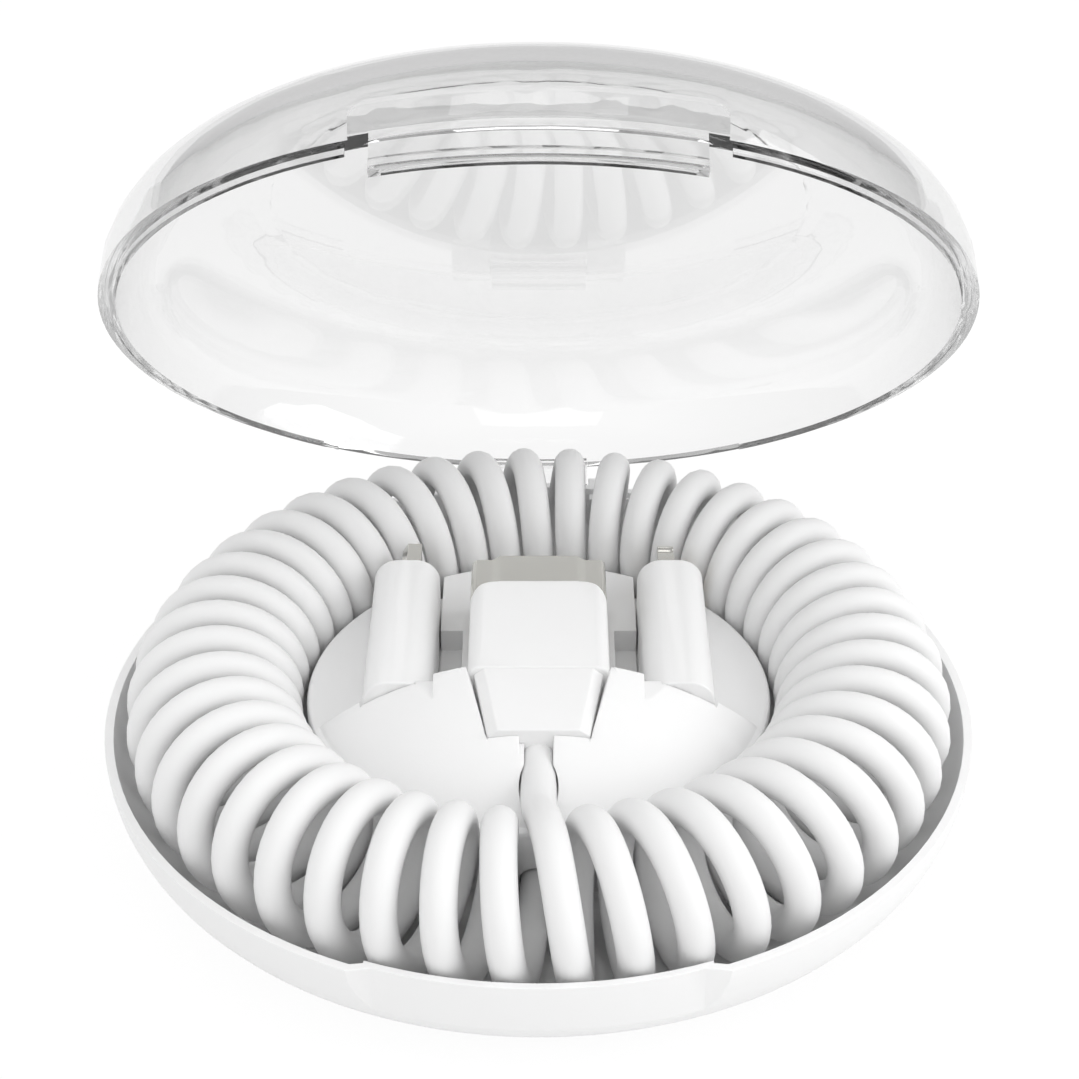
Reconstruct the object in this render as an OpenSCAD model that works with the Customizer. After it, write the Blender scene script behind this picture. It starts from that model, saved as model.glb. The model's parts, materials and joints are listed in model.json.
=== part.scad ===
// Pocket charging cable: a curly white cable wound round a holder for three plugs,
// in a round shell with a clear hinged lid. Millimetres, +Z up, -Y is the front.
// The origin is the centre of the flat underside. The lid is drawn open.

/* [Shell] */
// Outer radius of the shell and the lid at their rims
rim_r = 38; // [37:0.5:44]
// Height of the shell from its underside to its rim
base_h = 8; // [7.5:0.25:9]
// Radius of the flat underside
foot_r = 32.25; // [31:0.25:34]
// Thickness of the shell's floor
floor_t = 1.2; // [0.8:0.1:1.5]
// Width of the shell's rim, seen from above
rim_w = 0.8; // [0.6:0.1:1]
// Roundness of the bowl between the foot and the rim
bowl_n = 1.9; // [1.6:0.1:2.4]
// Depth of the finger recess in the front of the shell
recess_d = 0.95; // [0.6:0.05:1.1]
// Half width of the recess at its back
recess_half = 12.75; // [10:0.25:16]
// Thickness of the wall behind the recess
recess_wall = 0.65; // [0.5:0.05:0.9]

/* [Lid] */
// How far the lid stands open
lid_open = 49.2; // [0:0.1:100]
// Outer height of the lid above its rim
lid_h = 11.5; // [11:0.25:14]
// Radius of the flat disc on top of the lid
facet_r = 24; // [20:0.5:28]
// Roundness of the dome between the disc and the rim
dome_n = 2.2; // [1.8:0.1:3]
// Thickness of the lid's wall
lid_t = 1.2; // [0.9:0.1:1.5]
// Height of the straight band above the lid's rim
band_h = 0.75; // [0.5:0.05:1.2]
// Width of the lid's flat rim
lid_rim_w = 1.5; // [1.3:0.1:2]
// Space between the two rims when the lid is shut
lid_gap = 0.1; // [0.05:0.05:0.3]
// Height of the locating lip under the lid's rim
lip_h = 0.5; // [0.3:0.1:0.7]
// Half width of the latch tab
tab_half = 12.4; // [9:0.1:12.5]
// How far the tab reaches below the lid's rim
tab_drop = 3.2; // [2.5:0.1:3.6]
// Height of the block that carries the tab
block_h = 2.9; // [2:0.1:4]

/* [Hinge] */
// Distance from the rim out to the hinge axis
hinge_out = 1.6; // [1.5:0.1:2.2]
// Distance from the rim down to the hinge axis
hinge_drop = 2; // [1.8:0.1:2.4]
// Radius of the hinge barrel
barrel_r = 1.4; // [1.2:0.05:1.45]
// Radius of the hinge pin
pin_r = 0.6; // [0.5:0.05:0.7]
// Half length of the lid's barrel
lid_barrel_half = 5; // [4:0.5:8]
// Length of each of the shell's two barrels
knuckle_l = 4; // [3:0.5:6]

/* [Cable] */
// Diameter of the cable
cable_d = 2.95; // [2.6:0.05:3]
// Radius of the ring that the turns run round
coil_r = 28.4; // [28.3:0.1:28.6]
// Height of the middle of the turns above the underside
coil_z = 9; // [8.9:0.1:9.4]
// Half width of a turn, to the middle of the cable
turn_a = 6.2; // [5.8:0.1:6.2]
// Half height of a turn, to the middle of the cable
turn_b = 5.95; // [5.5:0.05:6]

/* [Holder] */
// Radius of the plug holder at its widest
hub_r = 20.4; // [20:0.1:20.5]
// Height of the holder's flat top above the underside
hub_z = 9.5; // [9:0.1:10]
// Radius of the holder's foot on the floor
hub_foot_r = 18.5; // [18:0.1:19.5]
// Rise of the domed front above the flat top
hub_rise = 8.2; // [7.8:0.1:8.4]
// Distance from the middle forward to the dome's cut face
dome_cut = 6; // [5.5:0.1:6.1]
// Radius that rounds the foot of the domed front
hub_round = 3; // [2:0.25:4]
// Depth of the wells beside the main plug
well_d = 2.2; // [1.5:0.1:2.6]
// Wall thickness of the holder
hub_t = 1.3; // [1:0.1:1.6]
// Space between a plug and its pocket
fit = 0.15; // [0.1:0.05:0.3]

/* [Main plug] */
// Width of the main plug's metal shell and its white grip
main_w = 12.2; // [11.9:0.1:12.4]
// Height of the metal shell
main_shell_h = 4.5; // [4.4:0.1:4.6]
// Thickness of the sheet metal
sheet_t = 0.3; // [0.2:0.05:0.35]
// Height of the raised panel on the metal shell
panel_h = 0.45; // [0.3:0.05:0.5]
// Width of the raised panel's flat
panel_w = 7; // [6.5:0.1:7.5]
// Width of the slope on each side of the raised panel
panel_slope = 0.75; // [0.5:0.05:0.9]
// Height of the white grip
grip_h = 6.1; // [6:0.1:6.3]
// Length of the grip behind the domed front
grip_l = 10.7; // [9:0.1:11.5]
// Length of the rounded flap over the metal shell
flap_l = 2.8; // [2:0.1:3]
// Length of the metal shell beyond the grip
main_shell_l = 7.4; // [6.5:0.1:7.6]
// Length of the tapered tail
tail_l = 7.3; // [6:0.1:7.5]

/* [Side plugs] */
// Distance from the middle to each side plug
side_x = 12.1; // [12:0.1:12.3]
// Width of a side plug's grip
side_w = 6; // [5.6:0.1:6.2]
// Height of a side plug's grip
side_h = 7.2; // [7.1:0.1:7.6]
// Height of the top of a side plug above the underside
side_top = 14.4; // [14:0.1:14.6]
// Length of a side plug's grip
side_l = 19.6; // [17:0.1:19.8]
// Radius of the grip's rounded upper edges
side_round = 2.2; // [1.5:0.1:2.5]
// Distance from the middle out to the line of the metal tips
tip_x = 11.75; // [11.6:0.05:11.9]
// Length of the metal tips
tip_l = 3.1; // [2:0.1:3.2]
// Thickness of the flat eight-contact tip
tab_t = 1.5; // [1.4:0.05:1.6]
// Width of the flat eight-contact tip
tab_w = 6.7; // [6.5:0.05:6.7]
// Thickness of the small five-contact shell
micro_t = 1.8; // [1.7:0.05:1.9]
// Width of the small five-contact shell
micro_w = 6.7; // [6.5:0.05:6.7]

/* [Hidden] */
$fn = 96;
// A hair's width that makes cuts run clear of a face
cut = 0.02;
// Space between pieces that are pushed together
snug = 0.05;
// Points along a rounded profile
steps = 9;

// Places that follow from the sizes above
recess_r = rim_r - recess_d;
recess_slope = 2;
hinge_y = rim_r + hinge_out;
hinge_z = base_h - hinge_drop;
lid_z = base_h + lid_gap;
barrel_gap = 0.15;
pin_half = lid_barrel_half + barrel_gap + knuckle_l;
cable_r = cable_d / 2;
dome_r = (hub_r * hub_r + hub_rise * hub_rise) / (2 * hub_rise);
grip_top = hub_z + fit + grip_h;
grip_front = -dome_cut + fit;
grip_back = grip_front + grip_l;
shell_top = grip_top - 0.7;
shell_mid = shell_top - main_shell_h / 2;
shell_tip = grip_back + main_shell_l;
tail_front = grip_front - tail_l;
tail_half_back = main_w / 2 - 0.6;
tail_half_front = tail_half_back - 1.25;
tail_top_back = grip_top - 0.1;
tail_top_front = grip_top - 1.25;
tail_run = [tail_half_front - tail_half_back, tail_front - grip_front];
tail_bottom = hub_z + fit;
cable_z = hub_z + 2.1;
end_z = 3.6;
side_front = -dome_cut - 0.3;
side_back = side_front + side_l;
side_mid = side_top - side_h / 2;
tip_mid = side_top - 0.2 - tab_w / 2;
tip_end = side_back + tip_l;
hub_edge = 0.5;
round_z = hub_z - hub_edge + hub_rise - dome_r
    + sqrt(pow(dome_r - hub_round, 2) - pow(hub_r - hub_round, 2));
neck_l = 3;
board_t = 0.8;
board_half = 2.4;
// The low ring on the floor that locates the holder
ring_r = hub_foot_r - 1.5;
ring_w = 0.8;
ring_h = 0.8;

// The cable from the tail of the main plug to the coil, and from the coil into the
// holder, as points chosen by hand
exit_route = [[0, tail_front, cable_z], [0, tail_front - 1.85, cable_z], [0, tail_front - 3.85, cable_z],
              [0, tail_front - 5.85, cable_z + 0.15], [0.1, -21, 12.25], [0.3, -22.6, 13]];
end_route = [[0, -16.5, end_z], [0, -18.5, end_z], [-0.1, -20.5, end_z - 0.1], [-0.3, -22.5, end_z - 0.2],
             [-0.6, -24.4, end_z - 0.3]];

// A quarter of a rounded outline, from (r0 + rise of r) at the rim to r0 at the foot
function quarter(r0, r1, z0, z1, n) =
    [for (i = [0:steps]) let (t = 90 * i / steps)
        [r0 + (r1 - r0) * pow(cos(t), 2 / n), z0 + (z1 - z0) * pow(sin(t), 2 / n)]];

// A rectangle with round corners, centred
module round_rect(w, h, r) {
    square([w - 2 * r, h], center = true);
    square([w, h - 2 * r], center = true);
    for (x = [-1, 1], y = [-1, 1])
        translate([x * (w / 2 - r), y * (h / 2 - r)]) circle(r);
}

// A flat shape in X and Z, drawn out along Y from y0 to y1
module along_y(y0, y1) {
    translate([0, y1, 0]) rotate([90, 0, 0]) linear_extrude(y1 - y0) children();
}

// A box from one corner to the other
module block(a, b) {
    translate(a) cube(b - a);
}

// Where the hinge turns the lid, and where it is drawn
module opened() {
    translate([0, hinge_y, hinge_z]) rotate([-lid_open, 0, 0])
        translate([0, -hinge_y, -hinge_z]) children();
}

// The plan of the front recess, grown by extra inwards and on each side
module recess_plan(extra) {
    end_half = recess_half + recess_slope;
    deep_y = extra - sqrt(pow(recess_r, 2) - pow(recess_half, 2));
    rim_y = extra - sqrt(pow(rim_r, 2) - pow(end_half, 2));
    difference() {
        polygon([[-recess_half - extra, -recess_r + 6], [recess_half + extra, -recess_r + 6],
                 [recess_half + extra, deep_y], [end_half + extra, rim_y],
                 [end_half + extra + 1, -rim_r - 2], [-end_half - extra - 1, -rim_r - 2],
                 [-end_half - extra, rim_y], [-recess_half - extra, deep_y]]);
        circle(recess_r - extra);
    }
}

// Shell: a shallow bowl with a stepped-in front, a locating ring and two hinge barrels
module base_shell() {
    inner_foot_r = foot_r - 1;
    color("white") difference() {
        union() {
            difference() {
                rotate_extrude()
                    polygon(concat([[0, 0], [0, base_h]], quarter(foot_r, rim_r, base_h, 0, bowl_n)));
                difference() {
                    rotate_extrude()
                        polygon(concat([[0, floor_t], [0, base_h + 1], [rim_r - rim_w, base_h + 1]],
                                       quarter(inner_foot_r, rim_r - rim_w, base_h, floor_t, bowl_n)));
                    linear_extrude(base_h * 2) recess_plan(recess_wall);
                }
            }
            rotate_extrude() translate([ring_r - ring_w, floor_t - cut]) square([ring_w, ring_h + cut]);
            for (s = [-1, 1]) translate([s * (lid_barrel_half + barrel_gap + knuckle_l / 2), 0, 0])
                base_knuckle();
        }
        translate([0, 0, -1]) linear_extrude(base_h + 2) recess_plan(0);
        hinge_bore(pin_r);
    }
}

// One barrel of the shell with the web that carries it, clear of the bowl's inside
module base_knuckle() {
    difference() {
        translate([-knuckle_l / 2, 0, 0]) rotate([90, 0, 90]) linear_extrude(knuckle_l) {
            translate([hinge_y, hinge_z]) circle(barrel_r);
            polygon([[rim_r - 3, hinge_z - 3], [rim_r - 3, base_h - 0.6], [hinge_y - 1, base_h - 0.6],
                     [hinge_y, hinge_z + barrel_r], [hinge_y + 0.6, hinge_z - barrel_r + 0.2],
                     [hinge_y, hinge_z - barrel_r]]);
        }
        translate([-50, 0, 0]) block([0, 0, -5], [100, rim_r - 2.2, 20]);
    }
}

// The bore along the hinge axis
module hinge_bore(r) {
    translate([-50, hinge_y, hinge_z]) rotate([0, 90, 0]) cylinder(h = 100, r = r, $fn = 32);
}

// Lid: a clear dome with a stepped rim, a latch tab in front and a barrel behind
module lid_shell() {
    inner_r = rim_r - lid_rim_w;
    lip_r = rim_r - rim_w - 0.25;
    outside = quarter(facet_r, rim_r, band_h, lid_h, dome_n);
    inside = quarter(facet_r - 0.5, inner_r, band_h, lid_h - lid_t, dome_n);
    disc_step = 0.12;
    color("lightcyan", 0.35) opened() difference() {
        union() {
            translate([0, 0, lid_z]) difference() {
                rotate_extrude() polygon(concat([[0, 0], [0, lid_h + disc_step],
                                                 [facet_r - 0.3, lid_h + disc_step], [facet_r, lid_h]],
                    [for (i = [steps - 1:-1:0]) outside[i]], [[rim_r, 0]]));
                rotate_extrude() polygon(concat([[0, -1], [0, lid_h - lid_t]],
                    [for (i = [steps:-1:0]) inside[i]], [[inner_r, -1]]));
            }
            lid_lip(inner_r, lip_r);
            lid_tab();
            lid_knuckle();
        }
        hinge_bore(pin_r + 0.1);
    }
}

// The low lip that locates the lid inside the shell's rim, left out at front and back
module lid_lip(inner_r, lip_r) {
    front_half = recess_half + recess_slope - 0.4;
    back_half = 20;
    difference() {
        translate([0, 0, lid_z - lip_h]) difference() {
            cylinder(h = lip_h + cut, r = lip_r);
            translate([0, 0, -1]) cylinder(h = 3, r = inner_r);
        }
        block([-front_half, -50, 0], [front_half, 0, 30]);
        block([-back_half, 0, 0], [back_half, 50, 30]);
    }
}

// The latch: a block on the dome's front and a tab that drops into the recess
module lid_tab() {
    tab_in = recess_r + 0.15;
    tab_out = rim_r + 0.5;
    block_out = rim_r + 1;
    rib = 0.35;
    block_half = tab_half + 1.6;
    translate([0, 0, lid_z]) {
        intersection() {
            difference() {
                rotate_extrude() polygon([[rim_r - 1.3, 0], [tab_out, 0], [tab_out + 0.05, 0.2],
                    [tab_out + 0.2, 0.45], [block_out, 1.15], [block_out, block_h - 0.8],
                    [block_out - 0.7, block_h], [rim_r - 1.3, block_h]]);
                translate([0, 0, -1]) cylinder(h = 10, r = rim_r - 1.25);
            }
            along_y(-50, 0) union() {
                block_outline(block_half);
            }
        }
        intersection() {
            rotate_extrude() polygon([[tab_in, cut], [tab_in, -tab_drop + 0.9], [tab_in + 0.6, -tab_drop],
                [tab_out + rib - 0.1, -tab_drop], [tab_out + rib, -tab_drop + 0.1],
                [tab_out + rib, -tab_drop + 0.75], [tab_out, -tab_drop + 1.2], [tab_out, cut]]);
            block([-tab_half, -50, -10], [tab_half, 0, 1]);
        }
    }
}

// The latch block seen from the front, with its two upper corners cut back
module block_outline(half) {
    corner = 1.2;
    polygon([[-half, -cut], [half, -cut], [half, block_h - corner], [half - corner, block_h + cut],
             [-half + corner, block_h + cut], [-half, block_h - corner]]);
}

// The lid's barrel and the arm that reaches over the shell's rim to it
module lid_knuckle() {
    intersection() {
        translate([-lid_barrel_half, 0, 0]) rotate([90, 0, 90]) linear_extrude(2 * lid_barrel_half) {
            translate([hinge_y, hinge_z]) circle(barrel_r);
            polygon([[rim_r - 1, lid_z], [rim_r - 1, lid_z + band_h], [rim_r + 0.8, lid_z + band_h],
                     [hinge_y + barrel_r - 0.1, hinge_z + 0.6], [hinge_y, hinge_z],
                     [rim_r + 0.25, hinge_z + 0.4], [rim_r + 0.25, lid_z]]);
        }
        difference() {
            block([-20, 0, 0], [20, 60, 30]);
            translate([0, 0, -1]) cylinder(h = base_h + 1 + lid_gap, r = rim_r + 0.15);
        }
    }
}

// Hinge pin: a plain steel wire through all three barrels
module hinge_pin() {
    color("silver") translate([-pin_half, hinge_y, hinge_z]) rotate([0, 90, 0])
        cylinder(h = 2 * pin_half, r = pin_r - 0.02, $fn = 32);
}

// The section of a side plug's grip, in X and Z, grown by extra
module side_section(extra) {
    w = side_w + 2 * extra;
    h = side_h + 2 * extra;
    r = side_round + extra;
    translate([0, side_mid]) {
        translate([-w / 2, -h / 2]) square([w, h - r]);
        translate([-w / 2 + r, -h / 2]) square([w - 2 * r, h]);
        for (s = [-1, 1]) translate([s * (w / 2 - r), h / 2 - r]) circle(r, $fn = 48);
    }
}

// The short stub at the front of a side plug, hidden in the holder
module side_stub(extra) {
    along_y(side_front - 2.4 - extra, side_front + cut)
        translate([0, side_mid - 1.4]) round_rect(3.6 + 2 * extra, 3.6 + 2 * extra, 0.8 + extra);
}

// The plan of the main plug's tail, grown by extra
module tail_plan(extra) {
    polygon([[-tail_half_back - extra, grip_front + cut], [tail_half_back + extra, grip_front + cut],
             [tail_half_front + extra, tail_front - extra],
             [-tail_half_front - extra, tail_front - extra]]);
}

// The profile of the domed front: a flat arc over the top that turns down in a tighter one
function dome_profile() = let (low = hub_z - hub_edge + hub_rise - dome_r,
    mid = hub_r - hub_round, turn = asin(mid / (dome_r - hub_round)))
    concat([for (i = [0:6]) let (t = 90 + (turn - 90) * i / 6)
                [mid + hub_round * sin(t), round_z + hub_round * cos(t)]],
           [for (i = [1:12]) let (t = turn * (1 - i / 12)) [dome_r * sin(t), low + dome_r * cos(t)]]);

// The holder's outer form: a round button with a domed front
module hub_form() {
    rotate_extrude() polygon([[0, floor_t], [hub_foot_r, floor_t], [hub_r, round_z],
                              [hub_r, hub_z - hub_edge], [hub_r - 0.15, hub_z - 0.15],
                              [hub_r - hub_edge, hub_z], [0, hub_z]]);
    intersection() {
        rotate_extrude() polygon(concat([[0, floor_t], [hub_foot_r, floor_t]], dome_profile()));
        block([-2 * hub_r, -2 * hub_r, 0], [2 * hub_r, -dome_cut, 2 * dome_r]);
    }
}

// The cores under the holder's middle, with a grid of ribs left between them
module hub_cores() {
    core_half = side_x - side_w / 2 - fit - hub_t;
    core_top = hub_z - well_d - hub_t;
    rib = 0.9;
    rib_x = core_half * 0.36;
    intersection() {
        translate([0, 0, floor_t - 1]) cylinder(h = core_top - floor_t + 1, r = hub_foot_r - hub_t);
        difference() {
            block([-core_half, -hub_r, -1], [core_half, hub_r, hub_z]);
            for (x = [-rib_x, rib_x]) block([x - rib / 2, -hub_r, -2], [x + rib / 2, hub_r, hub_z + 1]);
            for (k = [-2:2]) block([-hub_r, 7 * k - rib / 2, -2], [hub_r, 7 * k + rib / 2, hub_z + 1]);
        }
    }
}

// Holder: a moulded button with pockets for the plugs and a slot for the cable
module cable_holder() {
    slot_half = 1.2;
    well_out = side_x - side_w / 2 - fit;
    well_in = main_w / 2 + 0.8;
    over = 2 * dome_r;
    color("whitesmoke") difference() {
        hub_form();
        hub_cores();
        // Groove for the locating ring on the floor
        rotate_extrude() translate([ring_r - ring_w - fit, floor_t - 1])
            square([ring_w + 2 * fit, ring_h + fit + 1]);
        // Pockets for the two side plugs and for their stubs, and the flats in front of them
        for (s = [-1, 1]) translate([s * side_x, 0, 0]) {
            along_y(side_front - fit, hub_r + 1) side_section(fit);
            side_stub(fit);
        }
        for (s = [-1, 1])
            block([s > 0 ? well_out : -hub_r - 1, -hub_r, side_top],
                  [s > 0 ? hub_r + 1 : -well_out, 0, over]);
        // Wells beside the main plug, for a fingernail
        for (s = [-1, 1])
            block([s > 0 ? well_in : -well_out, -dome_cut, hub_z - well_d],
                  [s > 0 ? well_out : -well_in, grip_back + 4, hub_z + 1]);
        // Recess of the tail, with sloping walls
        translate([0, 0, tail_bottom]) linear_extrude(over) tail_plan(snug);
        for (s = [-1, 1]) recess_slope_cut(s);
        // Channel and slot of the cable, flared where it leaves
        translate([0, tail_front + cut, cable_z]) rotate([90, 0, 0])
            cylinder(h = 20, r = cable_r + fit, $fn = 48);
        block([-slot_half, -2 * hub_r, cable_z], [slot_half, tail_front + cut, over]);
        for (s = [-1, 1]) translate([s * slot_half, 0, 0]) slot_bevel();
        translate([0, 0, cable_z]) linear_extrude(over)
            polygon([[-slot_half, -17.3], [slot_half, -17.3], [cable_r + 0.3, -18.6], [cable_r + 0.3, -30],
                     [-cable_r - 0.3, -30], [-cable_r - 0.3, -18.6]]);
        // Hole for the inner end of the cable, low in the front wall
        translate([0, -hub_foot_r + 3.5, end_z]) rotate([90, 0, 0])
            cylinder(h = 10, r = cable_r + fit, $fn = 48);
    }
}

// The slope of the wall of the tail's recess, on the side given by s
module recess_slope_cut(s) {
    lean = 16;
    low = grip_top - 2.1;
    top = hub_z + hub_rise + 2;
    translate([s * (tail_half_back + snug), grip_front, 0])
        rotate([0, 0, s * atan2(tail_run[0], -tail_run[1])])
            along_y(-norm(tail_run) - snug, 0.8)
                polygon([[-s * cut, low], [0, low], [s * (top - low) * tan(lean), top], [-s * cut, top]]);
}

// The slope along the upper edge of the cable's slot
module slot_bevel() {
    along_y(-20, tail_front) polygon([[-0.4, cable_z + 1.6], [0, cable_z + 1.6], [0.4, hub_z + 7.4],
                                      [0.4, hub_z + 12], [-0.4, hub_z + 12]]);
}

// The coil as one closed ring of the turns' outer shape
module cable_coil() {
    sides = 24;
    color("white") rotate_extrude()
        polygon([for (i = [0:sides - 1]) let (t = 360 * i / sides)
            [coil_r + (turn_a + cable_r) * cos(t), coil_z + (turn_b + cable_r) * sin(t)]]);
}

// A smooth point on a route, a part f of the way from point i to the next
function route_at(p, i, f) = let (n = len(p), a = p[max(i - 1, 0)], b = p[i], c = p[min(i + 1, n - 1)],
    d = p[min(i + 2, n - 1)])
    0.5 * (2 * b + (c - a) * f + (2 * a - 5 * b + 4 * c - d) * f * f
           + (3 * b - a - 3 * c + d) * f * f * f);

// A tube of eight sides swept along a route that runs mostly along Y
module tube(p, r) {
    sides = 8;
    n = 2 * (len(p) - 1);
    rings = [for (k = [0:n]) let (i = min(floor(k / 2), len(p) - 2), f = k / 2 - i,
        m = route_at(p, i, f), ahead = route_at(p, i, min(f + 0.05, 1)),
        back = route_at(p, i, max(f - 0.05, 0)),
        dir = (ahead - back) / norm(ahead - back), across = cross(dir, [0, 0, 1]),
        u = across / norm(across), v = cross(u, dir))
        [for (j = [0:sides - 1]) m + r * (u * cos(360 * j / sides) + v * sin(360 * j / sides))]];
    points = [for (ring = rings) each ring];
    last = n * sides;
    polyhedron(points, concat(
        [[for (j = [0:sides - 1]) j]],
        [for (k = [0:n - 1], j = [0:sides - 1]) let (a = k * sides + j, b = k * sides + (j + 1) % sides)
            each [[a, a + sides, b], [b, a + sides, b + sides]]],
        [[for (j = [sides - 1:-1:0]) last + j]]), convexity = 4);
}

// The cable from the main plug's tail to the coil
module cable_exit() {
    color("white") tube(exit_route, cable_r);
}

// The inner end of the cable, from the coil into the holder
module cable_end() {
    color("white") tube(end_route, cable_r);
}

// The section of the metal shell, in X and Z, grown by extra
module main_section(extra) {
    translate([0, shell_mid]) round_rect(main_w + 2 * extra, main_shell_h + 2 * extra, 0.6 + extra);
    translate([0, shell_top + extra - cut])
        polygon([[-panel_w / 2 - panel_slope - extra, 0], [panel_w / 2 + panel_slope + extra, 0],
                 [panel_w / 2 + extra, panel_h + cut], [-panel_w / 2 - extra, panel_h + cut]]);
}

// The narrow neck of the metal shell, inside the grip
module main_neck(extra) {
    translate([0, shell_mid])
        round_rect(main_w - 1.4 + 2 * extra, main_shell_h - 0.7 + 2 * extra, 0.5 + extra);
}

// Main plug's grip: a rounded block whose back end laps over the metal shell
module main_plug_grip() {
    corner = 2.4;
    back = grip_back + flap_l;
    mid = grip_top - grip_h / 2;
    color("white") difference() {
        intersection() {
            along_y(grip_front, back) translate([0, mid]) round_rect(main_w, grip_h, 1.2);
            translate([0, 0, -10]) linear_extrude(60) {
                translate([-main_w / 2, grip_front]) square([main_w, back - corner - grip_front]);
                translate([-main_w / 2 + corner, grip_front])
                    square([main_w - 2 * corner, back - grip_front]);
                for (s = [-1, 1])
                    translate([s * (main_w / 2 - corner), back - corner]) circle(corner, $fn = 64);
            }
        }
        along_y(grip_back, back + 1) {
            main_section(0);
            translate([0, shell_mid]) square([main_w + 2, main_shell_h - 1.2], center = true);
        }
        along_y(grip_back - neck_l - snug, grip_back + cut) main_neck(0);
        block([-main_w / 2 + 1.2, grip_front + 1.5, shell_mid - 1.2],
              [main_w / 2 - 1.2, grip_back - neck_l + cut, shell_mid + 1.2]);
    }
}

// Tail of the main plug: a tapered sleeve with sloping edges that lies in the domed front
module main_plug_tail() {
    corners = 6;
    color("white") polyhedron(
        concat(tail_section(grip_front, tail_half_back, tail_top_back),
               tail_section(tail_front, tail_half_front, tail_top_front)),
        concat([[for (i = [0:corners - 1]) i]],
               [for (i = [0:corners - 1]) let (j = (i + 1) % corners) [i, corners + i, corners + j, j]],
               [[for (i = [corners - 1:-1:0]) corners + i]]), convexity = 2);
}

// The corners of the tail's section at a distance y, with its two upper edges cut back
function tail_section(y, half, top) = let (edge_w = 0.85, edge_h = 0.65)
    [[-half, y, tail_bottom], [half, y, tail_bottom], [half, y, top - edge_h], [half - edge_w, y, top],
     [-half + edge_w, y, top], [-half, y, top - edge_h]];

// Metal shell of the main plug, with its raised panel and its neck
module main_plug_shell() {
    inner_w = main_w - 2 * sheet_t;
    inner_h = main_shell_h - 2 * sheet_t;
    color("silver") difference() {
        union() {
            along_y(grip_back, shell_tip) main_section(0);
            along_y(grip_back - neck_l, grip_back + cut) main_neck(0);
        }
        along_y(grip_back + sheet_t, shell_tip + 1) {
            translate([0, shell_mid]) round_rect(inner_w, inner_h, 0.4);
            translate([0, shell_top - sheet_t - cut])
                polygon([[-panel_w / 2 - panel_slope, 0], [panel_w / 2 + panel_slope, 0],
                         [panel_w / 2, panel_h + cut], [-panel_w / 2, panel_h + cut]]);
        }
        along_y(grip_back - neck_l - 1, grip_back + 1)
            translate([0, shell_mid]) round_rect(main_w - 2, main_shell_h - 1.3, 0.3);
    }
}

// Plastic tongue that carries the four contacts
module main_plug_tongue() {
    low = shell_mid - main_shell_h / 2 + sheet_t + snug;
    front_half = main_w / 2 - sheet_t - 0.25;
    neck_half = main_w / 2 - 1 - 2 * snug;
    neck_low = shell_mid - (main_shell_h - 1.3) / 2 + 2 * snug;
    thick = 1.85;
    color("ivory") union() {
        translate([0, 0, low]) linear_extrude(thick)
            translate([-front_half, grip_back + sheet_t + snug])
                square([2 * front_half, shell_tip - 0.4 - grip_back - sheet_t - snug]);
        block([-neck_half, grip_back - neck_l + 0.1, neck_low],
              [neck_half, grip_back + sheet_t + 1, low + thick]);
    }
}

// Four spring contacts on the tongue
module main_plug_contacts() {
    top = shell_mid - main_shell_h / 2 + sheet_t + snug + 1.85;
    color("gold") for (x = [-3.5, -1, 1, 3.5])
        block([x - 0.5, grip_back + 0.6, top], [x + 0.5, shell_tip - 1.2, top + 0.2]);
}

// Circuit board in the main plug's grip, behind the tongue
module main_plug_board() {
    color("seagreen") block([-main_w / 2 + 1.5, grip_front + 1.8, shell_mid - board_t / 2],
                            [main_w / 2 - 1.5, grip_back - neck_l + 0.05, shell_mid + board_t / 2]);
}

// A side plug's grip with a slot for the neck of its tip and a chamber for its board
module side_grip(neck_t, neck_w) {
    difference() {
        union() {
            along_y(side_front, side_back) side_section(0);
            side_stub(0);
        }
        along_y(side_back - neck_l - snug, side_back + 1)
            translate([tip_x - side_x, tip_mid]) square([neck_t, neck_w], center = true);
        block([-1.2, side_front + 2, tip_mid - board_half - 0.2],
              [1.2, side_back - neck_l, tip_mid + board_half + 0.2]);
    }
}

// Sizes of the necks of the two side tips
micro_neck_t = 1.2;
micro_neck_w = 5.4;
tab_neck_t = 1.1;
tab_neck_w = 5.4;

// The outline of the five-contact shell: two corners on its outer side are cut back
module micro_section(extra) {
    t = micro_t / 2 + extra;
    w = micro_w / 2 + extra;
    cut_back = 0.7;
    polygon([[t, -w], [t, w], [-t + cut_back * 0.75, w], [-t, w - cut_back * 1.2],
             [-t, -w + cut_back * 1.2], [-t + cut_back * 0.75, -w]]);
}

// Left plug's grip
module left_plug_grip() {
    color("white") translate([-side_x, 0, 0]) mirror([1, 0, 0]) side_grip(micro_neck_t, micro_neck_w);
}

// Left plug's five-contact metal shell, standing on its edge
module left_plug_shell() {
    color("silver") translate([-tip_x, 0, tip_mid]) difference() {
        union() {
            along_y(side_back, tip_end) micro_section(0);
            along_y(side_back - neck_l, side_back + cut)
                square([micro_neck_t, micro_neck_w], center = true);
        }
        along_y(side_back + 0.25, tip_end + 1) micro_section(-0.25);
        along_y(side_back - neck_l - 1, side_back + 1)
            square([micro_neck_t - 0.5, micro_neck_w - 0.5], center = true);
    }
}

// Left plug's tongue
module left_plug_tongue() {
    color("dimgray") translate([-tip_x, 0, tip_mid])
        block([-0.3, side_back - neck_l - 0.4, -2.3], [0.3, tip_end - 0.3, 2.3]);
}

// Five contacts on the left plug's tongue
module left_plug_contacts() {
    color("gold") translate([-tip_x, 0, tip_mid]) for (k = [-2:2])
        block([0.3, side_back + 0.4, k * 0.65 - 0.18], [0.45, tip_end - 0.6, k * 0.65 + 0.18]);
}

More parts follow.
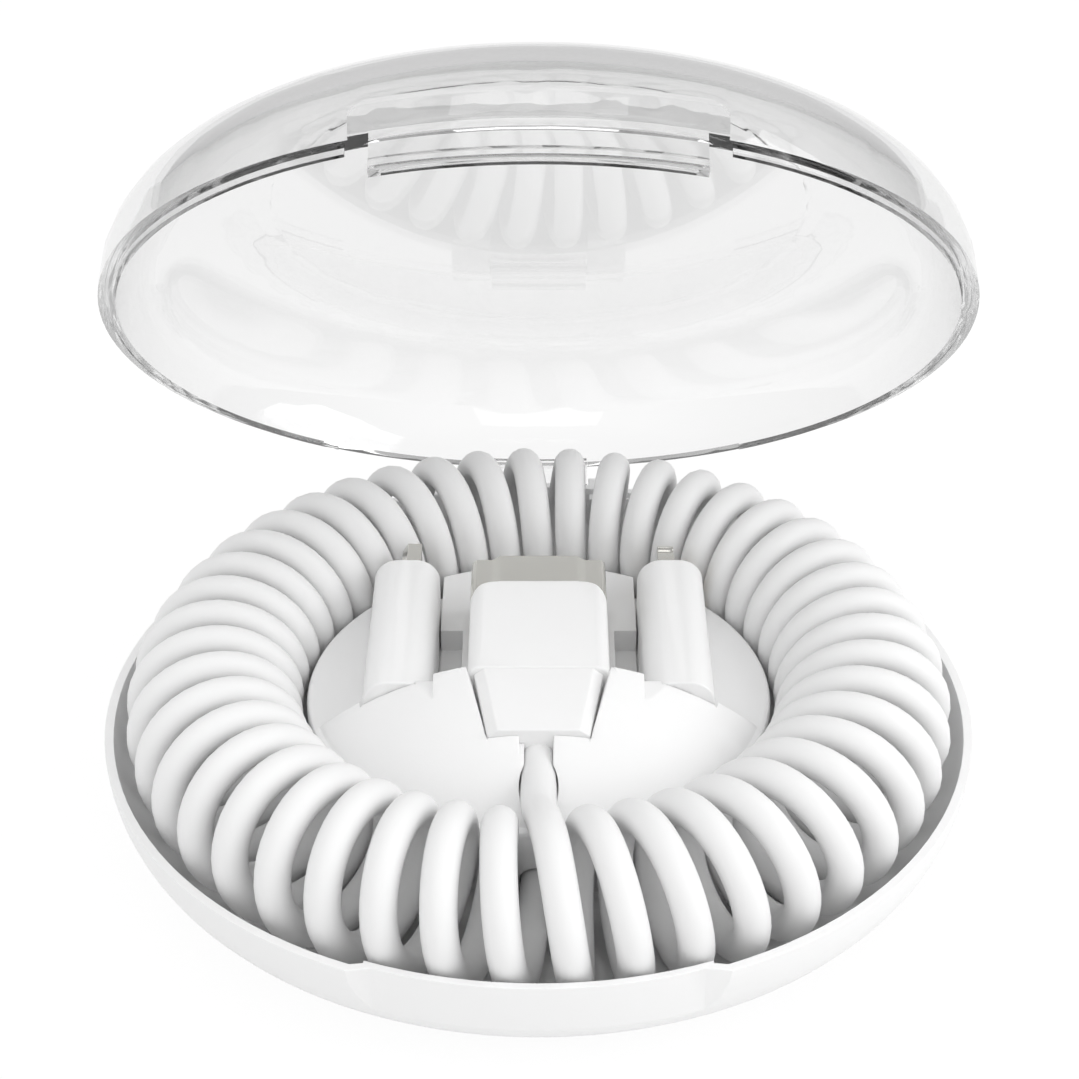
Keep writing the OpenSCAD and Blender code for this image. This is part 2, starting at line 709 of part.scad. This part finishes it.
// Left plug's circuit board
module left_plug_board() {
    color("seagreen") translate([-tip_x, 0, tip_mid])
        block([-board_t / 2, side_front + 4, -board_half],
              [board_t / 2, side_back - neck_l - 0.45, board_half]);
}

// Right plug's grip
module right_plug_grip() {
    color("white") translate([side_x, 0, 0]) side_grip(tab_neck_t, tab_neck_w);
}

// Right plug's flat metal tip, with a round end, a notch in each edge and a window
module right_plug_tab() {
    end_r = 0.6;
    notch_r = 0.5;
    window_w = 4.4;
    color("silver") translate([tip_x, 0, tip_mid]) difference() {
        union() {
            intersection() {
                rotate([0, 90, 0]) translate([0, 0, -tab_t / 2]) linear_extrude(tab_t) {
                    translate([-tab_w / 2, side_back]) square([tab_w, tip_l - end_r]);
                    translate([-tab_w / 2 + end_r, side_back]) square([tab_w - 2 * end_r, tip_l]);
                    for (s = [-1, 1]) translate([s * (tab_w / 2 - end_r), tip_end - end_r])
                        circle(end_r, $fn = 48);
                }
                translate([0, 0, -10]) linear_extrude(20) {
                    translate([-tab_t / 2, 0]) square([tab_t, tip_end - 0.4]);
                    translate([-tab_t / 2 + 0.4, 0]) square([tab_t - 0.8, tip_end]);
                    for (s = [-1, 1]) translate([s * (tab_t / 2 - 0.4), tip_end - 0.4])
                        circle(0.4, $fn = 32);
                }
            }
            along_y(side_back - neck_l, side_back + cut)
                square([tab_neck_t, tab_neck_w], center = true);
        }
        for (s = [-1, 1]) translate([-5, side_back + tip_l * 0.62, s * (tab_w / 2 + 0.2)])
            rotate([0, 90, 0]) cylinder(h = 10, r = notch_r, $fn = 32);
        block([-5, side_back + 0.5, -window_w / 2], [5, tip_end - 1, window_w / 2]);
    }
}

// The white plastic that fills the tip's window and holds its contacts
module right_plug_inlay() {
    half = 2.2 - snug;
    color("whitesmoke") translate([tip_x, 0, tip_mid])
        block([-tab_t / 2 + 0.1, side_back + 0.5 + snug, -half],
              [tab_t / 2 - 0.1, tip_end - 1 - snug, half]);
}

// Eight contacts on each face of the tip
module right_plug_contacts() {
    color("gold") translate([tip_x, 0, tip_mid]) for (s = [-1, 1], k = [0:7]) let (z = (k - 3.5) * 0.54)
        translate([s * (tab_t / 2 - 0.05), 0, z])
            block([-0.05, side_back + 0.6, -0.17], [0.05, tip_end - 1.15, 0.17]);
}

// Right plug's circuit board
module right_plug_board() {
    color("seagreen") translate([tip_x, 0, tip_mid])
        block([-board_t / 2, side_front + 4, -board_half],
              [board_t / 2, side_back - neck_l - 0.05, board_half]);
}

base_shell();
lid_shell();
hinge_pin();
cable_holder();
cable_coil();
cable_exit();
cable_end();
main_plug_grip();
main_plug_tail();
main_plug_shell();
main_plug_tongue();
main_plug_contacts();
main_plug_board();
left_plug_grip();
left_plug_shell();
left_plug_tongue();
left_plug_contacts();
left_plug_board();
right_plug_grip();
right_plug_tab();
right_plug_inlay();
right_plug_contacts();
right_plug_board();
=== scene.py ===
# %% [markdown]
# A pocket charging cable, built around its CAD model.
# The real object is a curly white cable wound into a ring, which lies round a holder for
# three plugs in a shallow white shell. A clear domed lid stands open behind it. The CAD model
# gives every rigid piece its true size and place. This file adds what the CAD model leaves
# plain: the turns of the cable, the finishes, the light and the camera.

# %% Load the CAD model as the fixed frame
import bpy
import json
from math import cos, radians, sin
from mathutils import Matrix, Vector


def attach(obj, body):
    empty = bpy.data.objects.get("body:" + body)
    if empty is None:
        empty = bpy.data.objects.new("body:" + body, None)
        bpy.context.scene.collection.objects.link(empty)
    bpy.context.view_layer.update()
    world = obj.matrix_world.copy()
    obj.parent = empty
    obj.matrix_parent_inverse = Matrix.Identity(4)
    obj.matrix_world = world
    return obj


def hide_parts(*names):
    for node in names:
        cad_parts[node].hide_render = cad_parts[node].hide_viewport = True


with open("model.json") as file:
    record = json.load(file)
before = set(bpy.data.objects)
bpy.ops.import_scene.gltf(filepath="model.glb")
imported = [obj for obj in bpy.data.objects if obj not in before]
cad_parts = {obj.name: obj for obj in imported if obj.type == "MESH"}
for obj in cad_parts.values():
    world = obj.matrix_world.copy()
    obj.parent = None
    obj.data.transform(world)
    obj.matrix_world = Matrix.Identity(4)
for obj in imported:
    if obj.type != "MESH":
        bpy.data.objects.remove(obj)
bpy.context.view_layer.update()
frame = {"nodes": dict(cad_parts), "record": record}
nodes = frame["nodes"]
mm = 0.001

# %% [markdown]
# The camera comes first, so that every later choice can be judged in the view that counts.
# It looks down at the open case from the front. A long lens of about 79 mm keeps the shell
# and the lid close to their true shapes. The small sideways shift puts the middle of the
# object where it lies in the picture, just left of the centre.

# %% Camera
picture_px = 1079
centre_px = 538.6
focal_px = 2366.9
sensor_mm = 36
looks_down = 31.84
stands_at = (0, -0.17054, 0.13072)
camera_data = bpy.data.cameras.new("view_from_the_front")
camera_data.sensor_width = sensor_mm
camera_data.lens = sensor_mm * focal_px / picture_px
camera_data.shift_x = (picture_px / 2 - centre_px) / picture_px
camera_data.clip_start = 0.01
camera = bpy.data.objects.new("view_from_the_front", camera_data)
camera.location = stands_at
camera.rotation_euler = (radians(90 - looks_down), 0, 0)
bpy.context.scene.collection.objects.link(camera)
bpy.context.scene.camera = camera
print("lens in mm:", round(camera_data.lens, 2))

# %% [markdown]
# The cable is one long curve: it leaves the tail of the main plug, runs through the slot of
# the holder, and then winds round a ring, over the outside and under the bottom, turn after
# turn. Each turn is a slightly flattened circle, so a cosine gives its distance from the
# middle of the case and a sine gives its height, while the turn also moves on round the ring.
# A curve with a round bevel is the natural way to make it, because its length can be read
# from its points. The curve is then turned into a mesh, which takes the same finish as the
# other pieces and keeps its true box.

# %% Path of the cable
coil_turns = 44
points_per_turn = 36
coil_radius = 28.4
coil_height = 9.0
turn_half_width = 6.2
turn_half_height = 5.95
cable_width = 2.95
first_angle = 4.02

leave_plug = [(0, -13.15, 11.6), (0, -15, 11.6), (0, -17, 11.6), (0, -19, 11.75),
              (0.1, -21, 12.25), (0.3, -22.6, 13)]
enter_holder = [(-0.6, -24.4, 3.3), (-0.3, -22.5, 3.4), (-0.1, -20.5, 3.5), (0, -18.5, 3.6),
                (0, -16.5, 3.6)]


def point_on_turn(phase):
    """A point of the wound cable, for a phase in degrees that falls along the cable."""
    round_ring = radians(first_angle - phase / coil_turns)
    out = coil_radius + turn_half_width * cos(radians(phase))
    up = coil_height + turn_half_height * sin(radians(phase))
    return (out * sin(round_ring), -out * cos(round_ring), up)


def smooth_through(points, steps):
    """More points on a smooth line through the given ones, without the last."""
    made = []
    for i in range(len(points) - 1):
        a, b, c, d = (Vector(points[min(max(i + k, 0), len(points) - 1)]) for k in (-1, 0, 1, 2))
        for s in range(steps):
            f = s / steps
            made.append(0.5 * (2 * b + (c - a) * f + (2 * a - 5 * b + 4 * c - d) * f * f
                               + (3 * b - a - 3 * c + d) * f ** 3))
    return made


first_phase = 112
last_phase = -360 * (coil_turns - 1) - 110
wound = int((first_phase - last_phase) / 360 * points_per_turn)
phases = [first_phase + (last_phase - first_phase) * i / wound for i in range(wound + 1)]
turns = [point_on_turn(phase) for phase in phases]
steps = 4
start = smooth_through([*leave_plug, turns[0], turns[1]], steps)[:-steps]
end = smooth_through([turns[-2], turns[-1], *enter_holder], steps)[steps:]
cable_path = [Vector(p) * mm for p in [*start, *turns[:-1], *end, enter_holder[-1]]]
cable_length = sum((b - a).length for a, b in zip(cable_path, cable_path[1:]))
print("cable length in m:", round(cable_length, 3), "points:", len(cable_path))

# %% Cable piece
cable_line = bpy.data.curves.new("cable_line", "CURVE")
cable_line.dimensions = "3D"
cable_line.bevel_depth = cable_width / 2 * mm
cable_line.bevel_resolution = 6
cable_line.use_fill_caps = True
spline = cable_line.splines.new("POLY")
spline.points.add(len(cable_path) - 1)
for point, place in zip(spline.points, cable_path):
    point.co = (*place, 1)
drawn_line = bpy.data.objects.new("cable_line", cable_line)
bpy.context.scene.collection.objects.link(drawn_line)
depsgraph = bpy.context.evaluated_depsgraph_get()
cable_mesh = bpy.data.meshes.new_from_object(drawn_line.evaluated_get(depsgraph))
bpy.data.objects.remove(drawn_line)
cable = bpy.data.objects.new("cable", cable_mesh)
bpy.context.scene.collection.objects.link(cable)
cable_mesh.polygons.foreach_set("use_smooth", [True] * len(cable_mesh.polygons))
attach(cable, "base")
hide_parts("cable_coil", "cable_exit", "cable_end")
print("faces of the cable:", len(cable_mesh.polygons))

# %% [markdown]
# Moulded plastic is never one flat value: the tool leaves a fine grain in its surface, and the
# gloss varies a little across it. One function makes all the opaque plastics, because they
# differ only in colour, gloss and grain. Noise in object space gives the grain, so it has a
# real size and needs no unwrapping.

# %% Opaque plastics


def new_material(name):
    """A material with only a Principled shader, and that shader."""
    made = bpy.data.materials.new(name)
    made.use_nodes = True
    return made, made.node_tree.nodes["Principled BSDF"]


def node(material, kind, **values):
    """A new shader node with its plain settings and its unlinked inputs filled in."""
    made = material.node_tree.nodes.new(kind)
    for key, value in values.items():
        if key in made.inputs:
            made.inputs[key].default_value = value
        else:
            setattr(made, key, value)
    return made


def surface_grain(material, shader, grain_mm, depth, rough_low, rough_high, cloud_mm=6):
    """Fine bumps and slow changes of gloss, both from noise in object space."""
    link = material.node_tree.links.new
    place = node(material, "ShaderNodeTexCoord").outputs["Object"]
    fine = node(material, "ShaderNodeTexNoise", Scale=1 / (grain_mm * mm), Detail=3.0)
    bump = node(material, "ShaderNodeBump", Strength=depth, Distance=0.02 * mm)
    link(place, fine.inputs["Vector"])
    link(fine.outputs["Fac"], bump.inputs["Height"])
    link(bump.outputs["Normal"], shader.inputs["Normal"])
    clouds = node(material, "ShaderNodeTexNoise", Scale=1 / (cloud_mm * mm), Detail=4.0)
    spread = node(material, "ShaderNodeMapRange")
    spread.inputs["To Min"].default_value = rough_low
    spread.inputs["To Max"].default_value = rough_high
    link(place, clouds.inputs["Vector"])
    link(clouds.outputs["Fac"], spread.inputs["Value"])
    link(spread.outputs["Result"], shader.inputs["Roughness"])


def moulded_plastic(name, colour, rough_low, rough_high, grain_mm=0.25, depth=0.25):
    """An opaque plastic of one colour, with a fine grain."""
    material, shader = new_material(name)
    shader.inputs["Base Color"].default_value = (*colour, 1)
    shader.inputs["IOR"].default_value = 1.5
    surface_grain(material, shader, grain_mm, depth, rough_low, rough_high)
    return material


finishes = {
    "white_case": moulded_plastic("white_case", (0.86, 0.86, 0.86), 0.28, 0.42),
    "white_holder": moulded_plastic("white_holder", (0.88, 0.88, 0.88), 0.38, 0.52, grain_mm=0.2),
    "plug_grip": moulded_plastic("plug_grip", (0.88, 0.88, 0.88), 0.25, 0.38),
    "cable_jacket": moulded_plastic("cable_jacket", (0.82, 0.82, 0.82), 0.5, 0.65,
                                    grain_mm=0.12, depth=0.2),
    "insulator": moulded_plastic("insulator", (0.82, 0.82, 0.8), 0.35, 0.5),
    "dark_insulator": moulded_plastic("dark_insulator", (0.05, 0.05, 0.055), 0.35, 0.5),
}
print("opaque plastics:", len(finishes))

# %% [markdown]
# The lid is clear plastic. It reflects the studio in its polished faces, and where one looks
# along its wall it turns grey, because there the light has gone through more of it. A
# Principled shader with full transmission bends the light as the real dome does. The colour
# that it lets through depends on the angle to the wall, by Layer Weight. Lamps would throw a
# black shadow through such a shader, so rays from lamps pass by a transparent one.

# %% Clear plastic of the lid


def clear_plastic(name, straight_through, along_wall):
    """A clear plastic that dims light by the given shares, straight through and along its wall."""
    material, shader = new_material(name)
    link = material.node_tree.links.new
    shader.inputs["Transmission Weight"].default_value = 1.0
    shader.inputs["IOR"].default_value = 1.49
    facing = node(material, "ShaderNodeLayerWeight", Blend=0.15)
    tint = node(material, "ShaderNodeMix", data_type="RGBA")
    tint.inputs["A"].default_value = (straight_through,) * 3 + (1,)
    tint.inputs["B"].default_value = (along_wall,) * 3 + (1,)
    link(facing.outputs["Facing"], tint.inputs["Factor"])
    tint_colour = [o for o in tint.outputs if o.type == "RGBA"][0]
    link(tint_colour, shader.inputs["Base Color"])
    surface_grain(material, shader, grain_mm=3, depth=0.04, rough_low=0.01, rough_high=0.035,
                  cloud_mm=15)
    rays = node(material, "ShaderNodeLightPath")
    through = node(material, "ShaderNodeBsdfTransparent", Color=(0.93, 0.93, 0.93, 1))
    either = node(material, "ShaderNodeMixShader")
    link(rays.outputs["Is Shadow Ray"], either.inputs["Fac"])
    link(shader.outputs["BSDF"], either.inputs[1])
    link(through.outputs["BSDF"], either.inputs[2])
    link(either.outputs["Shader"], material.node_tree.nodes["Material Output"].inputs["Surface"])
    return material


finishes["clear_lid"] = clear_plastic("clear_lid", straight_through=0.97, along_wall=0.25)
print("finishes so far:", sorted(finishes))

# %% [markdown]
# The plug shells are plated sheet metal, drawn and then brushed lightly along their length.
# Stretching a noise along one axis gives such fine lines. The contacts are gilded, and the
# board is a green laminate. Most of this is hidden in the plugs, but it shows where a plug is
# looked into.

# %% Metals and board


def metal(name, colour, rough_low, rough_high, lines=(1, 1, 1), grain_mm=0.15, depth=0.2):
    """A metal whose noise is stretched along the axis where lines is small."""
    material, shader = new_material(name)
    shader.inputs["Base Color"].default_value = (*colour, 1)
    shader.inputs["Metallic"].default_value = 1.0
    link = material.node_tree.links.new
    place = node(material, "ShaderNodeTexCoord").outputs["Object"]
    drawn = node(material, "ShaderNodeMapping")
    drawn.inputs["Scale"].default_value = lines
    noise = node(material, "ShaderNodeTexNoise", Scale=1 / (grain_mm * mm), Detail=3.0)
    spread = node(material, "ShaderNodeMapRange")
    spread.inputs["To Min"].default_value = rough_low
    spread.inputs["To Max"].default_value = rough_high
    bump = node(material, "ShaderNodeBump", Strength=depth, Distance=0.01 * mm)
    link(place, drawn.inputs["Vector"])
    link(drawn.outputs["Vector"], noise.inputs["Vector"])
    link(noise.outputs["Fac"], spread.inputs["Value"])
    link(spread.outputs["Result"], shader.inputs["Roughness"])
    link(noise.outputs["Fac"], bump.inputs["Height"])
    link(bump.outputs["Normal"], shader.inputs["Normal"])
    return material


finishes["plated_shell"] = metal("plated_shell", (0.74, 0.73, 0.69), 0.1, 0.2, lines=(1, 0.04, 1))
finishes["pin_steel"] = metal("pin_steel", (0.6, 0.6, 0.6), 0.2, 0.3, lines=(0.05, 1, 1))
finishes["contacts"] = metal("contacts", (0.9, 0.68, 0.32), 0.15, 0.25)
finishes["board"] = moulded_plastic("board", (0.03, 0.18, 0.08), 0.3, 0.5, grain_mm=0.4)
print("finishes in all:", len(finishes))

# %% [markdown]
# Each CAD node keeps its shape and takes the finish that the record names for it. A real
# moulding has no knife edge, so a Weld modifier joins the faces of the mesh and a narrow
# Bevel rounds its edges. Weighted normals then let round faces look round and flat ones
# flat. Modifiers leave the CAD mesh itself as it is. The clear lid keeps crisp edges, because
# the Bevel breaks at the ends of its latch block, and the small inner pieces keep theirs
# because they are hardly seen.

# %% Finishes and soft edges on the CAD nodes
sharp_angle = radians(28)
joined_mm = 0.001
edge_mm = {
    "base_shell": 0.06, "cable_holder": 0.06, "main_plug_grip": 0.2, "main_plug_tail": 0.12,
    "main_plug_shell": 0.08, "left_plug_grip": 0.15, "right_plug_grip": 0.15,
    "right_plug_tab": 0.08, "left_plug_shell": 0.06,
}


def soften(piece, width):
    """Smooth faces, with a narrow round along every sharp edge, or a crisp edge where width is 0."""
    weld = piece.modifiers.new("joined_faces", "WELD")
    weld.merge_threshold = joined_mm * mm
    if width:
        bevel = piece.modifiers.new("soft_edges", "BEVEL")
        bevel.width = width * mm
        bevel.segments = 2
        bevel.limit_method = "ANGLE"
        bevel.angle_limit = sharp_angle
        bevel.use_clamp_overlap = False
        bevel.loop_slide = False
    else:
        split = piece.modifiers.new("crisp_edges", "EDGE_SPLIT")
        split.split_angle = sharp_angle
        split.use_edge_sharp = False
    normals = piece.modifiers.new("smooth_faces", "WEIGHTED_NORMAL")
    normals.keep_sharp = False


slot_of_node = {part["node"]: part["material_slot"] for part in frame["record"]["subparts"]}
for name, piece in nodes.items():
    finish = finishes[slot_of_node[name]]
    piece.data.materials.clear()
    piece.data.materials.append(finish)
    soften(piece, edge_mm.get(name, 0))
cable_mesh.materials.clear()
cable_mesh.materials.append(finishes["cable_jacket"])
print("nodes with a finish:", len(nodes), "with soft edges:", len(edge_mm))

# %% [markdown]
# The studio is plain: a white floor, a pale sky and three soft lamps. The floor and the sky
# are white to the camera, while the light that they send to the object stays moderate, so
# that white plastic keeps its shading. The floor mixes its own colour with an even white. Its
# own colour is a small share, so the shadow of the case on it is very faint.

# %% Floor
half_floor = 2
floor_gap = 0.2 * mm
corners = [(-half_floor, -half_floor, 0), (half_floor, -half_floor, 0),
           (half_floor, half_floor, 0), (-half_floor, half_floor, 0)]
floor_mesh = bpy.data.meshes.new("floor")
floor_mesh.from_pydata(corners, [], [(0, 1, 2, 3)])
floor = bpy.data.objects.new("floor", floor_mesh)
floor.location.z = -floor_gap
bpy.context.scene.collection.objects.link(floor)


def rays_of(tree, *kinds):
    """1 for rays of any of the given kinds, otherwise 0."""
    rays = tree.nodes.new("ShaderNodeLightPath")
    total = None
    for name in kinds:
        if total is None:
            total = rays.outputs[name]
            continue
        larger = tree.nodes.new("ShaderNodeMath")
        larger.operation = "MAXIMUM"
        tree.links.new(total, larger.inputs[0])
        tree.links.new(rays.outputs[name], larger.inputs[1])
        total = larger.outputs[0]
    return total


white_share = 0.93
white_strength = 1.02
floor_material, floor_shader = new_material("floor")
floor_shader.inputs["Base Color"].default_value = (0.8, 0.8, 0.8, 1)
floor_shader.inputs["Roughness"].default_value = 0.9
tree = floor_material.node_tree
glow = node(floor_material, "ShaderNodeEmission", Strength=white_strength)
share = node(floor_material, "ShaderNodeMath", operation="MULTIPLY")
share.inputs[1].default_value = white_share
either = node(floor_material, "ShaderNodeMixShader")
white_rays = rays_of(tree, "Is Camera Ray", "Is Glossy Ray", "Is Transmission Ray")
tree.links.new(white_rays, share.inputs[0])
tree.links.new(share.outputs[0], either.inputs["Fac"])
tree.links.new(floor_shader.outputs["BSDF"], either.inputs[1])
tree.links.new(glow.outputs["Emission"], either.inputs[2])
tree.links.new(either.outputs["Shader"], tree.nodes["Material Output"].inputs["Surface"])
floor_mesh.materials.append(floor_material)
print("floor width in m:", 2 * half_floor, "share that keeps the shadow:", round(1 - white_share, 2))

# %% [markdown]
# Clear plastic only shows its edges if they bend the view towards something darker. So the
# sky that shiny and clear surfaces see is like a studio room: bright low down in front and
# behind, and darker overhead and at both sides. The direction of the ray decides this, not
# the place of the camera. The camera itself always sees plain white.

# %% Sky
room_bright = 0.7
room_dark = 0.38
dims_from = 0.4
dark_from = 0.95
world = bpy.data.worlds.new("pale_studio")
world.use_nodes = True
bpy.context.scene.world = world
sky = world.node_tree


def background(strength):
    """An even white sky of the given strength."""
    made = sky.nodes.new("ShaderNodeBackground")
    made.inputs["Color"].default_value = (1, 1, 1, 1)
    made.inputs["Strength"].default_value = strength
    return made


def choose(factor, first, second):
    """The second sky where the factor is 1, otherwise the first."""
    made = sky.nodes.new("ShaderNodeMixShader")
    sky.links.new(factor, made.inputs["Fac"])
    sky.links.new(first.outputs[0], made.inputs[1])
    sky.links.new(second.outputs[0], made.inputs[2])
    return made


soft_sky = background(0.9)
white_sky = background(1.0)
room = background(1.0)
direction = sky.nodes.new("ShaderNodeTexCoord").outputs["Generated"]
parts = sky.nodes.new("ShaderNodeSeparateXYZ")
sideways = sky.nodes.new("ShaderNodeMath")
sideways.operation = "ABSOLUTE"
furthest = sky.nodes.new("ShaderNodeMath")
furthest.operation = "MAXIMUM"
fade = sky.nodes.new("ShaderNodeMapRange")
fade.interpolation_type = "SMOOTHSTEP"
fade.inputs["From Min"].default_value = dims_from
fade.inputs["From Max"].default_value = dark_from
fade.inputs["To Min"].default_value = room_bright
fade.inputs["To Max"].default_value = room_dark
sky.links.new(direction, parts.inputs[0])
sky.links.new(parts.outputs["X"], sideways.inputs[0])
sky.links.new(sideways.outputs[0], furthest.inputs[0])
sky.links.new(parts.outputs["Z"], furthest.inputs[1])
sky.links.new(furthest.outputs[0], fade.inputs["Value"])
sky.links.new(fade.outputs["Result"], room.inputs["Strength"])
indirect = choose(rays_of(sky, "Is Glossy Ray", "Is Transmission Ray"), soft_sky, room)
all_rays = choose(rays_of(sky, "Is Camera Ray"), indirect, white_sky)
sky.links.new(all_rays.outputs[0], sky.nodes["World Output"].inputs["Surface"])
print("room from", room_dark, "to", room_bright)

# %% [markdown]
# Three large square lamps give the soft shading, the strongest of them on the right. The one
# overhead lights what faces up. It is kept out of reflections, which changes the view from the
# front by next to nothing.

# %% Lamps
lamp_size = 0.6


def soft_lamp(name, place, power):
    """A square lamp that faces the object."""
    data = bpy.data.lights.new(name, "AREA")
    data.shape = "SQUARE"
    data.size = lamp_size
    data.energy = power
    lamp = bpy.data.objects.new(name, data)
    lamp.location = place
    lamp.rotation_mode = "QUATERNION"
    lamp.rotation_quaternion = (-Vector(place)).to_track_quat("-Z", "Y")
    bpy.context.scene.collection.objects.link(lamp)
    return lamp


soft_lamp("right", (0.85, -0.1, 0.5), power=3.0)
soft_lamp("front", (0, -0.95, 0.25), power=0.8)
overhead = soft_lamp("overhead", (0, 0, 1), power=1.6)
overhead.visible_glossy = False
bpy.context.scene.view_settings.view_transform = "Standard"
print("lamps:", len(bpy.data.lights))

# %% [markdown]
# Light that enters the rim of the lid runs along inside its wall and bounces many times before
# it comes out. The renderer normally gives up after four such bounces and leaves the rim
# black, so it is allowed more of them here.

# %% Bounces inside the clear wall
bounces = 32
light_paths = bpy.context.scene.cycles
light_paths.max_bounces = bounces
light_paths.glossy_bounces = bounces
light_paths.transmission_bounces = bounces
print("bounces:", bounces)
